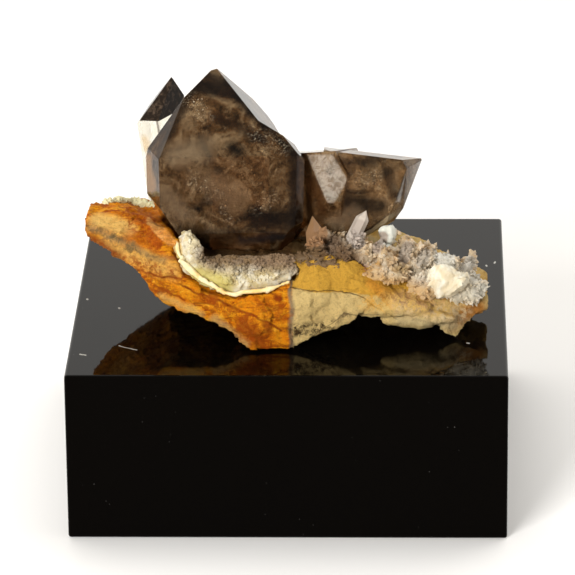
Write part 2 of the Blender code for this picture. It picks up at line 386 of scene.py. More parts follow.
def lightStudio():
    world = bpy.data.worlds.new("studio")
    world.use_nodes = True
    back = world.node_tree.nodes["Background"]
    back.inputs["Color"].default_value = (*studio["worldColor"], 1.0)
    direction = world.node_tree.nodes.new("ShaderNodeTexCoord")
    split = world.node_tree.nodes.new("ShaderNodeSeparateXYZ")
    world.node_tree.links.new(direction.outputs["Generated"], split.inputs[0])
    level = world.node_tree.nodes.new("ShaderNodeMapRange")
    world.node_tree.links.new(split.outputs["Y"], level.inputs["Value"])
    level.inputs["From Min"].default_value = studio["turnover"][0]
    level.inputs["From Max"].default_value = studio["turnover"][1]
    level.inputs["To Min"].default_value = studio["frontStrength"]
    level.inputs["To Max"].default_value = studio["backStrength"]
    world.node_tree.links.new(level.outputs[0], back.inputs["Strength"])
    bpy.context.scene.world = world
    addPanel("topPanel", studio["topPanelSize"], studio["topPanelPower"], studio["topPanelPlace"])
    addPanel("sidePanel", studio["sidePanelSize"], studio["sidePanelPower"], studio["sidePanelPlace"])
    bm = bmesh.new()
    bmesh.ops.create_grid(bm, x_segments=1, y_segments=1, size=studio["floorSize"] / 2)
    floor = meshObject("floor", bm)
    shader = Shader("floorPaper")
    shader.set("Base Color", studio["floorColor"])
    shader.set("Roughness", studio["floorRoughness"])
    floor.data.materials.append(shader.material)
    floor.visible_glossy = False  # no pale veil on the crystals
    bpy.context.scene.view_settings.view_transform = "Standard"


block = {
    "edge": 0.35,  # mm
    "edgeSteps": 4,
    "color": (0.0014, 0.0010, 0.0007),
    "roughness": 0.03,
    "filmRoughness": 0.04,  # added where the polish is hazy
    "shine": 0.10,
    "dustColor": (0.42, 0.40, 0.36),
    "dustStrength": 0.55,
    "wander": 0.12,  # mm, how far painted edges stray
    "marks": [
        ((-22.2, -8.8, 20.0), (-20.6, -15.2, 20.0), 0.2, 0.9, (0.0, 0.0, 0.0), 0.8),
        ((-19.3, -16.0, 20.0), (-17.2, -17.3, 20.0), 0.01, 0.05, (0.5, 0.48, 0.42), 0.8),
        ((-23.9, -1.7, 20.0), (-23.8, -1.8, 20.0), 0.04, 0.08, (0.5, 0.48, 0.42), 0.8),
        ((-23.6, -18.5, 20.0), (-22.9, -18.9, 20.0), 0.02, 0.07, (0.5, 0.48, 0.42), 0.8),
        ((-20.0, -4.5, 20.0), (-19.9, -4.6, 20.0), 0.04, 0.08, (0.5, 0.48, 0.42), 0.8),
        ((24.0, 10.3, 20.0), (23.9, 10.0, 20.0), 0.05, 0.08, (0.6, 0.58, 0.52), 0.8),
        ((23.0, 9.0, 20.0), (22.9, 9.2, 20.0), 0.04, 0.08, (0.6, 0.58, 0.52), 0.8),
        ((20.4, -15.1, 20.0), (20.7, -15.2, 20.0), 0.02, 0.07, (0.6, 0.58, 0.52), 0.8),
    ],
}


def blockMaterial():
    shader = Shader("polishedBlack")
    shader.wander(900, block["wander"])
    dots = shader.ramp(shader.cells(900), [(0.0, 1.0), (0.06, 0.0)])
    patches = shader.ramp(shader.clouds(170, detail=2), [(0.5, 0.0), (0.7, 1.0)])
    specks = shader.math("MULTIPLY", dots, patches)
    dust = shader.math("MULTIPLY", specks, block["dustStrength"])
    color = shader.blend(dust, block["color"], block["dustColor"])
    shader.set("Base Color", shader.paint(color, block["marks"]))
    film = shader.ramp(shader.clouds(120, detail=5, warp=0.4), [(0.45, 0.0), (0.75, 1.0)])
    shader.set("Roughness", shader.math("MULTIPLY_ADD", film, block["filmRoughness"], block["roughness"]))
    shader.set("Specular IOR Level", block["shine"])
    return shader.material


def makeBlock():
    low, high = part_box("display_block")
    bm = bmesh.new()
    shape = Matrix.Translation((high + low) / 2) @ Matrix.Diagonal((*(high - low), 1.0))
    bmesh.ops.create_cube(bm, size=1.0, matrix=shape)
    body = bevelled(meshObject("blockBody", bm), block["edge"], block["edgeSteps"])
    settle(body, blockMaterial(), "display_block")


rock = {
    "voxel": 0.21,  # mm
    "chips": [(3.4, 0.15), (1.5, 0.28), (0.62, 0.38)],  # size, slope
    "mounds": [  # centre, half size: the underside of the right wing
        ((11.4, -14.2, 24.1), (5.0, 1.4, 1.1)),
        ((14.8, -14.0, 22.6), (4.4, 1.2, 1.0)),
    ],
    "flake": [  # the striped pale flake beside the crust
        ((-16.3, -6.9, 31.9), (-14.9, -8.8, 31.3), 0.14, 0.2, (0.92, 0.46, 0.13), 0.95),
        ((-15.3, -8.2, 31.5), (-13.3, -10.8, 30.7), 0.5, 0.2, (0.90, 0.42, 0.11), 0.95),
    ],
    "orange": (0.72, 0.21, 0.005),
    "paleOrange": (0.80, 0.33, 0.012),
    "deepRed": (0.26, 0.045, 0.004),
    "ochre": (0.62, 0.335, 0.045),
    "cream": (0.70, 0.50, 0.20),
    "brown": (0.13, 0.055, 0.014),
    "rust": (0.34, 0.055, 0.004),
    "gold": (0.96, 0.50, 0.035),
    "yellow": (0.92, 0.56, 0.09),
    "streakTilt": 18,  # degrees
    "streakScale": (0.22, 1.0, 1.5),
    "wander": 0.525,  # mm, how far painted edges stray
    "roughness": 0.4,  # at its smoothest
    "shine": 0.1,
    "marks": [
        # left face: pale orange, grey seam, red patches, streaks
        ((-22.0, -7.2, 32.0), (-18.4, -8.4, 31.3), 0.5, 0.8, (0.90, 0.56, 0.16), 0.85),
        ((-20.7, -9.6, 29.6), (-13.2, -13.2, 28.2), 0.4, 1.3, (0.76, 0.44, 0.11), 0.75),
        ((-17.6, -5.9, 32.1), (-14.4, -4.4, 31.6), 0.5, 0.9, (0.50, 0.11, 0.006), 0.6),
        ((-18.1, -9.6, 30.7), (-15.2, -10.6, 30.6), 0.4, 0.9, (0.50, 0.11, 0.006), 0.6),
        ((-16.4, -7.6, 31.8), (-15.2, -10.2, 30.5), 0.5, 0.6, (0.46, 0.09, 0.006), 0.6),
        ((-22.8, -8.7, 31.6), (-20.1, -9.5, 30.7), 0.1, 0.5, (0.30, 0.22, 0.11), 0.6),
        ((-20.1, -9.5, 30.7), (-14.4, -12.2, 29.0), 0.1, 0.5, (0.32, 0.21, 0.09), 0.6),
        ((-22.9, -8.6, 30.4), (-19.5, -10.3, 28.7), 0.2, 0.7, (0.26, 0.07, 0.012), 0.8),
        ((-18.3, -11.0, 27.6), (-14.2, -12.8, 27.2), 0.05, 0.16, (0.24, 0.035, 0.004), 0.9),
        ((-14.2, -12.8, 27.2), (-9.6, -13.4, 27.1), 0.04, 0.15, (0.24, 0.035, 0.004), 0.8),
        ((-15.4, -12.3, 25.9), (-11.8, -14.0, 24.8), 0.04, 0.15, (0.24, 0.035, 0.004), 0.8),
        ((-13.2, -13.6, 26.9), (-8.0, -15.6, 25.5), 0.04, 0.16, (0.24, 0.035, 0.004), 0.85),
        ((-8.0, -15.6, 25.5), (-3.8, -17.4, 24.3), 0.05, 0.16, (0.24, 0.035, 0.004), 0.9),
        ((-3.8, -17.4, 24.3), (-0.6, -17.6, 22.6), 0.06, 0.16, (0.24, 0.035, 0.004), 0.9),
        ((-1.2, -16.6, 26.1), (-0.9, -16.7, 26.1), 0.25, 0.35, (0.24, 0.03, 0.003), 0.95),
        ((-8.8, -15.1, 25.9), (-8.1, -15.4, 25.5), 0.2, 0.5, (0.36, 0.08, 0.006), 0.8),
        ((-5.0, -17.0, 23.0), (-3.2, -17.7, 21.2), 0.4, 0.8, (0.34, 0.07, 0.006), 0.85),
        ((-2.4, -17.7, 23.2), (-2.2, -17.7, 22.6), 0.2, 0.5, (0.36, 0.07, 0.006), 0.8),
        ((-8.4, -16.2, 23.4), (-4.8, -17.7, 20.9), 0.2, 0.6, (0.46, 0.32, 0.13), 0.6),
        ((-14.5, -12.8, 24.8), (-10.0, -15.5, 23.6), 0.1, 0.6, (0.68, 0.44, 0.13), 0.6),
        # the joint along the prow
        ((0.45, -12.5, 29.7), (0.5, -16.4, 27.0), 0.08, 0.2, (0.17, 0.13, 0.08), 0.9),
        ((0.5, -16.4, 27.0), (0.5, -17.6, 20.4), 0.12, 0.25, (0.24, 0.18, 0.11), 0.85),
        # right face: crack, lower crack, pitted patch, orange spots
        ((0.5, -16.2, 27.3), (3.1, -16.4, 26.9), 0.02, 0.09, (0.06, 0.035, 0.015), 0.9),
        ((3.1, -16.4, 26.9), (6.7, -15.6, 26.5), 0.02, 0.09, (0.06, 0.035, 0.015), 0.9),
        ((6.7, -15.6, 26.5), (8.5, -15.5, 25.7), 0.03, 0.1, (0.06, 0.035, 0.015), 0.9),
        ((8.5, -15.5, 25.7), (12.4, -14.9, 22.9), 0.02, 0.1, (0.07, 0.04, 0.018), 0.85),
        ((4.1, -16.5, 22.2), (6.4, -16.3, 24.1), 0.01, 0.09, (0.10, 0.06, 0.03), 0.75),
        ((6.4, -16.3, 24.1), (10.5, -15.4, 23.6), 0.01, 0.09, (0.12, 0.07, 0.035), 0.7),
        ((9.4, -15.1, 27.2), (10.9, -15.1, 26.2), 0.3, 0.6, (0.66, 0.27, 0.03), 0.85),
        ((11.6, -15.0, 25.7), (15.9, -14.0, 24.2), 0.3, 0.8, (0.60, 0.30, 0.06), 0.75),
        ((18.8, -13.2, 21.8), (21.6, -12.2, 23.2), 0.5, 0.9, (0.42, 0.15, 0.02), 0.9),
        ((11.5, -14.8, 24.8), (18.2, -13.6, 23.4), 0.5, 1.2, (0.78, 0.50, 0.15), 0.8),
        ((12.8, -14.6, 22.8), (18.6, -14.0, 21.8), 0.3, 0.9, (0.58, 0.45, 0.23), 0.8),
        # the shaded root of the large crystals
        ((-10.5, -10.0, 29.6), (1.5, -10.2, 29.6), 1.0, 1.1, (0.05, 0.03, 0.015), 0.95),
        ((-9.6, -12.4, 29.2), (-0.4, -12.6, 29.2), 0.5, 0.9, (0.08, 0.045, 0.02), 0.8),
    ],
    "broken": [  # marks broken up by a fine pattern
        ((-22.8, -8.7, 31.6), (-20.1, -9.5, 30.7), 0.25, 0.7, (0.15, 0.10, 0.04), 0.7),
        ((-20.1, -9.5, 30.7), (-17.6, -10.5, 29.6), 0.3, 0.6, (0.15, 0.105, 0.045), 0.8),
        ((-17.6, -10.5, 29.6), (-14.4, -12.2, 29.0), 0.2, 0.6, (0.15, 0.10, 0.045), 0.7),
        ((-22.9, -8.6, 30.0), (-20.4, -9.9, 28.7), 0.3, 0.7, (0.24, 0.04, 0.005), 0.9),
        ((-19.3, -10.4, 28.4), (-12.4, -13.4, 27.6), 0.3, 0.8, (0.30, 0.05, 0.004), 0.8),
        ((-16.4, -11.8, 26.6), (-13.4, -13.4, 25.4), 0.4, 0.9, (0.36, 0.08, 0.006), 0.8),
        ((-9.4, -15.2, 25.8), (-7.0, -16.2, 24.6), 0.3, 0.9, (0.34, 0.06, 0.004), 0.85),
        ((-5.4, -16.8, 23.6), (-2.6, -17.6, 20.9), 0.8, 1.1, (0.34, 0.06, 0.004), 0.9),
        ((-3.0, -17.0, 25.6), (-0.4, -17.2, 24.4), 0.5, 1.0, (0.40, 0.08, 0.005), 0.7),
        ((-18.0, -5.8, 32.1), (-14.8, -9.8, 30.6), 1.1, 0.9, (0.34, 0.055, 0.004), 0.85),
        ((9.6, -14.8, 25.6), (18.6, -13.6, 23.8), 0.8, 1.4, (0.78, 0.38, 0.05), 0.8),
        ((13.0, -14.2, 24.6), (19.6, -13.2, 22.6), 0.5, 1.3, (0.74, 0.62, 0.40), 0.7),
        ((1.0, -17.0, 22.3), (4.6, -16.5, 22.4), 0.5, 0.6, (0.06, 0.035, 0.015), 1.0),
        ((4.6, -16.5, 22.8), (6.8, -16.2, 24.0), 0.1, 0.4, (0.10, 0.06, 0.03), 0.8),
        ((11.0, -14.6, 26.0), (16.0, -14.0, 24.2), 0.2, 0.9, (0.36, 0.14, 0.03), 0.8),
    ],
}


def slanted(shader):  # coordinates for streaks that run down to the right
    slant = shader.add("ShaderNodeMapping")
    shader.join(shader.coords, slant.inputs["Vector"])
    slant.inputs["Rotation"].default_value = (0.0, math.radians(rock["streakTilt"]), 0.0)
    slant.inputs["Scale"].default_value = rock["streakScale"]
    return slant.outputs["Vector"]


def orangeStone(shader, spots, slant):  # the left side, streaked and specked
    color = shader.blend(shader.ramp(spots, [(0.38, 0.0), (0.66, 1.0)]), rock["orange"], rock["paleOrange"])
    streaks = shader.clouds(900, detail=6, warp=0.6, roughness=0.62, vector=slant)
    color = shader.blend(shader.ramp(streaks, [(0.52, 0.0), (0.64, 0.9)]), color, rock["deepRed"])
    speckle = shader.clouds(1500, detail=7, warp=0.3, roughness=0.7, vector=slant)
    color = shader.blend(shader.ramp(speckle, [(0.54, 0.0), (0.63, 0.92)]), color, rock["rust"])
    return shader.blend(shader.ramp(speckle, [(0.34, 0.7), (0.44, 0.0)]), color, rock["gold"])


def ochreStone(shader, spots, wide, behind, patches):  # the right side, ochre above cream
    level = shader.math("MULTIPLY_ADD", wide, 0.8 * mm, shader.axis("Z"))
    slope = shader.math("MULTIPLY_ADD", shader.axis("X"), 0.12, level)
    front = shader.fade(slope, full=27.7 * mm, none=27.5 * mm)
    share = shader.blend(behind, front, shader.ramp(patches, [(0.4, 0.0), (0.62, 1.0)]))
    color = shader.blend(share, rock["cream"], rock["ochre"])
    return shader.blend(shader.ramp(spots, [(0.60, 0.0), (0.74, 0.7)]), color, rock["brown"])


def rockMaterial():
    shader = Shader("ironStainedRock")
    shader.wander(500, rock["wander"])
    wide = shader.clouds(230, detail=6, warp=0.6, roughness=0.6)
    grain = shader.clouds(2600, detail=8, warp=0.3, roughness=0.72)
    spots = shader.clouds(700, detail=6, warp=0.5, roughness=0.65)
    patches = shader.clouds(150, detail=7, warp=0.8, roughness=0.62)
    slant = slanted(shader)
    behind = shader.fade(shader.axis("Y"), full=-7.0 * mm, none=-11.5 * mm)
    orange = orangeStone(shader, spots, slant)
    ochre = ochreStone(shader, spots, wide, behind, patches)
    side = shader.math("MULTIPLY_ADD", wide, 0.5 * mm, shader.axis("X"))
    joint = shader.fade(side, full=0.9 * mm, none=0.6 * mm)  # sharp in front
    drift = shader.math("MULTIPLY_ADD", patches, 22 * mm, shader.axis("X"))
    share = shader.blend(behind, joint, shader.fade(drift, full=15 * mm, none=8 * mm))
    color = shader.blend(share, orange, ochre)
    color = shader.paint(color, rock["marks"])
    crumbs = shader.clouds(1500, detail=7, warp=0.5, roughness=0.7)
    color = shader.paint(color, rock["broken"], shader.ramp(crumbs, [(0.43, 1.0), (0.56, 0.0)]))
    ribs = shader.clouds(1900, detail=4, warp=0.3, vector=slant)
    color = shader.paint(color, rock["flake"], shader.ramp(ribs, [(0.42, 0.45), (0.56, 1.0)]))
    sand = shader.clouds(6500, detail=5, roughness=0.7)
    color = shader.blend(shader.ramp(sand, [(0.3, 0.4), (0.47, 0.0)]), color, rock["brown"])
    dark = shader.ramp(grain, [(0.28, 1.0), (0.46, 0.0)])
    color = shader.blend(shader.math("MULTIPLY", dark, 0.55), color, rock["brown"])
    light = shader.ramp(grain, [(0.56, 0.0), (0.74, 1.0)])
    color = shader.blend(shader.math("MULTIPLY", light, 0.14), color, rock["yellow"])
    shader.set("Base Color", color)
    shader.set("Roughness", shader.math("MULTIPLY_ADD", grain, 0.4, rock["roughness"]))
    shader.set("Specular IOR Level", rock["shine"])
    height = shader.math("ADD", grain, spots)
    shader.bump(shader.math("MULTIPLY_ADD", sand, 0.7, height), strength=1.0, distance=0.3 * mm)
    return shader.material


def makeRock():
    body = heaped(copyNode("matrix", "rockPlate"), rock["mounds"])
    chipped(body, rock["voxel"], rock["chips"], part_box("matrix"))
    settle(body, rockMaterial(), "matrix")


glintColor = (1.0, 0.86, 0.62)  # of the fractures that catch the light

mainCrystal = {
    "edge": 0.07,
    "dark": (0.014, 0.006, 0.002),
    "middle": (0.155, 0.074, 0.025),
    "pale": (0.56, 0.37, 0.19),
    "absorb": (0.52, 0.33, 0.17),
    "density": 230.0,
    "ior": 1.45,
    "clear": 0.62,
    "shine": 0.06,
    "roughness": 0.05,
    "wander": 0.64,  # mm
    "marks": [
        ((-10.7, -4.6, 47.5), (-5.0, -4.9, 46.4), 0.45, 0.8, (0.010, 0.006, 0.004), 0.92),
        ((-9.2, -4.6, 48.8), (-7.4, -4.6, 47.6), 0.3, 0.7, (0.03, 0.018, 0.01), 0.85),
        ((-7.2, -4.1, 48.0), (-4.3, -6.5, 44.9), 0.25, 0.7, (0.012, 0.007, 0.004), 0.85),
        ((-4.3, -6.5, 44.9), (0.6, -9.4, 41.0), 0.2, 0.6, (0.014, 0.008, 0.004), 0.8),
        ((0.9, -9.8, 40.6), (0.9, -9.6, 31.0), 0.3, 0.8, (0.014, 0.007, 0.004), 0.85),
        ((-6.4, -9.3, 41.5), (-5.6, -9.4, 41.2), 0.15, 1.1, (0.008, 0.005, 0.003), 0.95),
        ((-8.2, -6.8, 44.6), (-3.0, -8.4, 42.2), 0.2, 0.8, (0.02, 0.010, 0.005), 0.8),
        ((-3.6, -10.0, 33.2), (0.9, -9.8, 33.2), 0.5, 1.3, (0.012, 0.006, 0.003), 0.92),
        ((-12.6, -10.3, 31.8), (-6.5, -9.6, 31.0), 0.3, 1.0, (0.030, 0.015, 0.007), 0.8),
        ((-5.4, -9.0, 30.2), (0.4, -8.4, 30.6), 0.2, 0.6, (0.030, 0.030, 0.034), 0.8),
        ((-17.0, -5.0, 40.0), (-16.6, -6.0, 32.0), 0.9, 0.8, (0.030, 0.014, 0.006), 0.9),
        ((-11.2, -4.8, 46.6), (-16.4, -6.0, 40.0), 0.3, 0.5, (0.035, 0.018, 0.008), 0.8),
        ((-16.2, -6.6, 39.2), (-15.9, -7.2, 36.0), 0.35, 0.6, (0.55, 0.27, 0.07), 0.8),
        ((-14.9, -10.0, 40.2), (-14.9, -10.0, 34.6), 0.12, 0.3, (0.03, 0.016, 0.008), 0.8),
        ((-11.8, -7.0, 45.6), (-14.6, -9.8, 41.6), 0.2, 0.6, (0.04, 0.024, 0.013), 0.8),
        ((-12.6, -9.8, 41.0), (-9.6, -9.6, 41.6), 0.5, 1.6, (0.34, 0.24, 0.14), 0.55),
        ((-8.6, -10.1, 37.6), (-6.0, -10.1, 35.6), 0.4, 1.8, (0.30, 0.18, 0.09), 0.55),
        ((-14.2, -10.3, 36.4), (-11.6, -10.4, 33.8), 0.3, 1.2, (0.34, 0.22, 0.12), 0.55),
    ],
    "glintZones": [
        ((-11.4, -5.6, 46.4), (-9.2, -7.0, 44.4), 0.5, 0.7),
        ((-3.8, -8.0, 42.9), (-0.4, -9.0, 41.4), 0.5, 0.7),
        ((-3.4, -10.0, 34.6), (-1.6, -10.0, 36.0), 0.2, 0.9),
        ((-10.6, -10.0, 38.2), (-8.4, -10.0, 36.4), 0.2, 1.1),
        ((-7.4, -10.0, 34.6), (-6.8, -10.0, 33.0), 0.1, 0.7),
    ],
    "facets": [],
}

leftCrystal = {
    "edge": 0.06,
    "dark": (0.80, 0.74, 0.58),
    "middle": (0.97, 0.94, 0.84),
    "pale": (1.0, 1.0, 0.97),
    "ior": 1.2,
    "clear": 0.95,
    "shine": 0.5,
    "roughness": 0.03,
    "wander": 0.24,
    "marks": [
        ((-15.6, 4.6, 40.3), (-15.4, 4.6, 38.4), 0.08, 0.14, (0.05, 0.03, 0.02), 0.9),
        ((-17.2, 4.6, 37.6), (-16.9, 4.6, 36.4), 0.2, 0.6, (0.75, 0.45, 0.15), 0.7),
    ],
    "glintZones": [],
    "facets": [],
}

leftTip = {
    "height": 39.9,  # mm, the left crystal is dark above it
    "color": (0.020, 0.014, 0.010),
    "pale": (0.11, 0.075, 0.05),
    "roughness": 0.12,
    "ior": 1.25,
    "shine": 0.2,
}

rightCrystals = {
    "edge": 0.06,
    "dark": (0.018, 0.008, 0.003),
    "middle": (0.28, 0.155, 0.062),
    "pale": (0.58, 0.43, 0.25),
    "absorb": (0.52, 0.34, 0.18),
    "density": 200.0,
    "ior": 1.45,
    "clear": 0.60,
    "shine": 0.06,
    "roughness": 0.06,
    "wander": 0.48,
    "marks": [
        ((7.1, -5.6, 33.6), (10.4, -5.3, 33.0), 0.5, 1.0, (0.014, 0.008, 0.004), 0.9),
        ((11.4, -4.9, 37.0), (12.2, -4.9, 34.4), 0.3, 0.9, (0.02, 0.011, 0.006), 0.8),
        ((5.6, -6.0, 38.8), (9.6, -5.2, 38.4), 0.2, 0.7, (0.03, 0.018, 0.01), 0.75),
        ((2.2, -6.8, 39.0), (2.4, -6.4, 31.6), 0.25, 0.5, (0.008, 0.004, 0.002), 0.95),
        ((3.0, -6.8, 36.4), (3.8, -6.8, 32.6), 0.35, 0.9, (0.06, 0.024, 0.008), 0.85),
        ((1.2, -6.2, 39.0), (1.2, -5.7, 31.0), 0.2, 0.35, (0.20, 0.10, 0.045), 0.8),
        ((5.6, -6.4, 31.4), (7.6, -6.2, 32.4), 0.4, 1.0, (0.30, 0.20, 0.12), 0.6),
        ((8.1, -6.0, 29.3), (12.6, -4.4, 31.9), 0.16, 0.2, (0.52, 0.42, 0.26), 0.85),
        ((8.5, -6.0, 30.0), (12.6, -4.4, 32.4), 0.04, 0.14, (0.02, 0.012, 0.008), 0.9),
        ((12.3, -4.9, 32.2), (12.7, -4.6, 33.2), 0.3, 0.5, (0.36, 0.22, 0.10), 0.7),
    ],
    "glintZones": [
        ((7.2, -5.4, 36.0), (10.2, -5.0, 36.6), 0.4, 0.9),
        ((11.8, -4.8, 32.4), (12.8, -4.6, 33.4), 0.3, 0.5),
    ],
    "facets": [  # outlines on the front, colour, strength
        ([(2.0, 39.9), (5.1, 39.6), (6.8, 36.5), (5.2, 34.0), (4.4, 34.1)], (0.88, 0.79, 0.66), 0.92),
        ([(13.5, 37.1), (12.8, 33.1), (12.2, 33.3)], (1.0, 0.97, 0.9), 0.9),
    ],
}


def quartzMaterial(name, look):  # smoky quartz: see-through, cloudy, darker by its depth
    shader = Shader(name)
    shader.wander(380, look["wander"])
    cloud = shader.clouds(300, detail=8, warp=0.9, roughness=0.66)
    color = shader.ramp(cloud, [(0.36, look["dark"]), (0.52, look["middle"]), (0.72, look["pale"])])
    fine = shader.clouds(2400, detail=6, warp=0.8, roughness=0.7)
    color = shader.blend(shader.ramp(fine, [(0.36, 0.6), (0.5, 0.0)]), color, look["dark"])
    color = shader.blend(shader.ramp(fine, [(0.56, 0.0), (0.72, 0.5)]), color, look["pale"])
    wisps = shader.clouds(620, detail=8, warp=2.6, roughness=0.7)
    color = shader.blend(shader.ramp(wisps, [(0.58, 0.0), (0.70, 0.7)]), color, look["pale"])
    color = shader.blend(shader.ramp(wisps, [(0.30, 0.8), (0.40, 0.0)]), color, look["dark"])
    color = shader.paint(color, look["marks"])
    glints = shader.clouds(3800, detail=6, warp=1.0, roughness=0.8)
    broken = shader.ramp(glints, [(0.57, 0.0), (0.63, 0.9)])
    for start, end, width, soft in look["glintZones"]:
        near = shader.math("MULTIPLY", shader.zone(start, end, width, soft), broken)
        color = shader.blend(near, color, glintColor)
    streaks = shader.clouds(1300, detail=8, warp=0.7, roughness=0.75)
    grit = shader.ramp(streaks, [(0.42, 0.35), (0.58, 1.0)])
    for corners, tint, amount in look["facets"]:
        near = shader.math("MULTIPLY", shader.facet(corners), shader.math("MULTIPLY", grit, amount))
        color = shader.blend(near, color, tint)
    shader.set("Base Color", color)
    shader.bump(shader.clouds(600, detail=5, warp=0.4), strength=0.12, distance=0.15 * mm)
    if "density" in look:
        volume = shader.add("ShaderNodeVolumeAbsorption")
        shader.feed(volume, "Color", look["absorb"])
        shader.feed(volume, "Density", look["density"])
        shader.join(volume.outputs[0], shader.output.inputs["Volume"])
    return shader.finish(look)


def tipMaterial(name, tip):
    shader = Shader(name)
    spots = shader.clouds(1400, detail=7, warp=0.8, roughness=0.7)
    shader.set("Base Color", shader.ramp(spots, [(0.5, tip["color"]), (0.72, tip["pale"])]))
    return shader.finish(tip)


def makeCrystal(node, name, look, tip=None):
    body = copyNode(node, name)
    if tip:
        bm = bmesh.new()
        bm.from_mesh(body.data)
        everything = bm.verts[:] + bm.edges[:] + bm.faces[:]
        level = Vector((0, 0, tip["height"] * mm))
        bmesh.ops.bisect_plane(bm, geom=everything, plane_co=level, plane_no=(0, 0, 1))
        bm.to_mesh(body.data)
        bm.free()
    bevelled(body, look["edge"])
    body.data.materials.append(quartzMaterial(name + "Glass", look))
    if tip:
        body.data.materials.append(tipMaterial(name + "Tip", tip))
        for face in body.data.polygons:
            face.material_index = 1 if face.center.z > tip["height"] * mm else 0
    settle(body, None, node)


def coverGroup(seedling, lean, material):  # sows copies of seedling, turned and stretched at random
    group = bpy.data.node_groups.new("crystalCover", "GeometryNodeTree")
    socket = group.interface.new_socket
    socket("Geometry", in_out="INPUT", socket_type="NodeSocketGeometry")
    inputs = [("Density", "Float"), ("Seed", "Int"), ("Smallest", "Float"), ("Largest", "Float")]
    slots = {}
    for name, kind in inputs:
        slots[name] = socket(name, in_out="INPUT", socket_type="NodeSocket" + kind).identifier
    socket("Geometry", in_out="OUTPUT", socket_type="NodeSocketGeometry")
    nodes = group.nodes
    link = group.links.new
    entry = nodes.new("NodeGroupInput").outputs
    points = nodes.new("GeometryNodeDistributePointsOnFaces")
    link(entry["Geometry"], points.inputs["Mesh"])
    link(entry["Density"], points.inputs["Density"])
    link(entry["Seed"], points.inputs["Seed"])
    source = nodes.new("GeometryNodeObjectInfo")
    source.inputs["Object"].default_value = seedling
    place = nodes.new("GeometryNodeInstanceOnPoints")
    link(points.outputs["Points"], place.inputs["Points"])
    link(source.outputs["Geometry"], place.inputs["Instance"])
    tilt = nodes.new("FunctionNodeRandomValue")
    tilt.data_type = "FLOAT_VECTOR"
    tilt.inputs[0].default_value = (-lean, -lean, -math.pi)
    tilt.inputs[1].default_value = (lean, lean, math.pi)
    link(entry["Seed"], tilt.inputs["Seed"])
    turn = nodes.new("FunctionNodeRotateRotation")
    turn.rotation_space = "LOCAL"
    link(points.outputs["Rotation"], turn.inputs["Rotation"])
    link(tilt.outputs[0], turn.inputs["Rotate By"])
    link(turn.outputs[0], place.inputs["Rotation"])
    size = nodes.new("FunctionNodeRandomValue")
    size.data_type = "FLOAT_VECTOR"
    link(entry["Smallest"], size.inputs[0])
    link(entry["Largest"], size.inputs[1])
    link(entry["Seed"], size.inputs["Seed"])
    link(size.outputs[0], place.inputs["Scale"])
    real = nodes.new("GeometryNodeRealizeInstances")
    link(place.outputs["Instances"], real.inputs["Geometry"])
    finish = nodes.new("GeometryNodeSetMaterial")
    finish.inputs["Material"].default_value = material
    link(real.outputs["Geometry"], finish.inputs["Geometry"])
    link(finish.outputs["Geometry"], nodes.new("NodeGroupOutput").inputs["Geometry"])
    return group, slots


def covered(body, seedling, count, sizes, lean, seed, material):  # swaps a body for what grows on it
    area = sum(face.area for face in body.data.polygons)
    group, slots = coverGroup(seedling, lean, material)
    cover = body.modifiers.new("cover", "NODES")
    cover.node_group = group
    cover[slots["Density"]] = count / area
    cover[slots["Seed"]] = seed
    cover[slots["Smallest"]] = sizes[0] * mm
    cover[slots["Largest"]] = sizes[1] * mm
    plainMesh(body)
    bpy.data.objects.remove(seedling)
    return body


def sixSidedPoint(radius, shoulder, length, tip):  # a prism that narrows to its shoulder, and a pyramid
    bm = bmesh.new()
    bmesh.ops.create_cone(bm, cap_ends=True, segments=6, radius1=radius, radius2=shoulder, depth=length)
    top = max(bm.faces, key=lambda face: face.calc_center_median().z)
    bmesh.ops.poke(bm, faces=[top], offset=tip)
    return bm


def grainMesh(radius):
    return meshObject("grain", sixSidedPoint(radius, radius * 0.85, length=0.8, tip=0.32))


def grown(bed, look, material):  # swaps a bed for its grains, as a piece's dictionary says
    grain = grainMesh(look["grainRadius"])
    return covered(bed, grain, look["grains"], look["grainSize"], look["lean"], look["seed"], material)


flecks = {
    "color": (0.95, 0.84, 0.66),
    "roughness": 0.25,
    "size": (0.08, 0.32),  # mm
    "lean": 3.0,  # radians, at most
    "seed": 30,
    "zones": [  # centre, half size, count
        ((-10.3, -5.6, 45.4), (1.3, 0.35, 1.1), 36),
        ((-1.9, -7.9, 42.1), (1.5, 0.35, 0.8), 36),
        ((-2.8, -9.3, 34.9), (1.3, 0.25, 1.3), 24),
        ((-8.0, -9.0, 38.0), (4.8, 0.5, 3.6), 26),
        ((8.8, -4.6, 36.4), (1.7, 0.2, 1.0), 20),
    ],
}


def flakeMesh():  # a bent sliver, about 1 m long
    bm = bmesh.new()
    outline = ((-0.5, -0.3, 0), (0.6, -0.1, 0.1), (0.2, 0.3, 0), (-0.3, 0.35, -0.1))
    corners = [bm.verts.new(place) for place in outline]
    bm.faces.new(corners[:3])
    bm.faces.new((corners[0], corners[2], corners[3]))
    return meshObject("flake", bm)


def makeFlecks():
    shader = Shader("fractureFlecks")
    shader.set("Base Color", flecks["color"])
    material = shader.finish(flecks)
    parts = []
    for i, (centre, half, count) in enumerate(flecks["zones"]):
        patch = ball("fleckPatch", centre, half, 2)
        seed = flecks["seed"] + i
        flake = flakeMesh()
        parts.append(covered(patch, flake, count, flecks["size"], flecks["lean"], seed, material))
    body = joined(parts[0], parts[1:])
    body.name = "innerFlecks"
    settle(body, material, None)


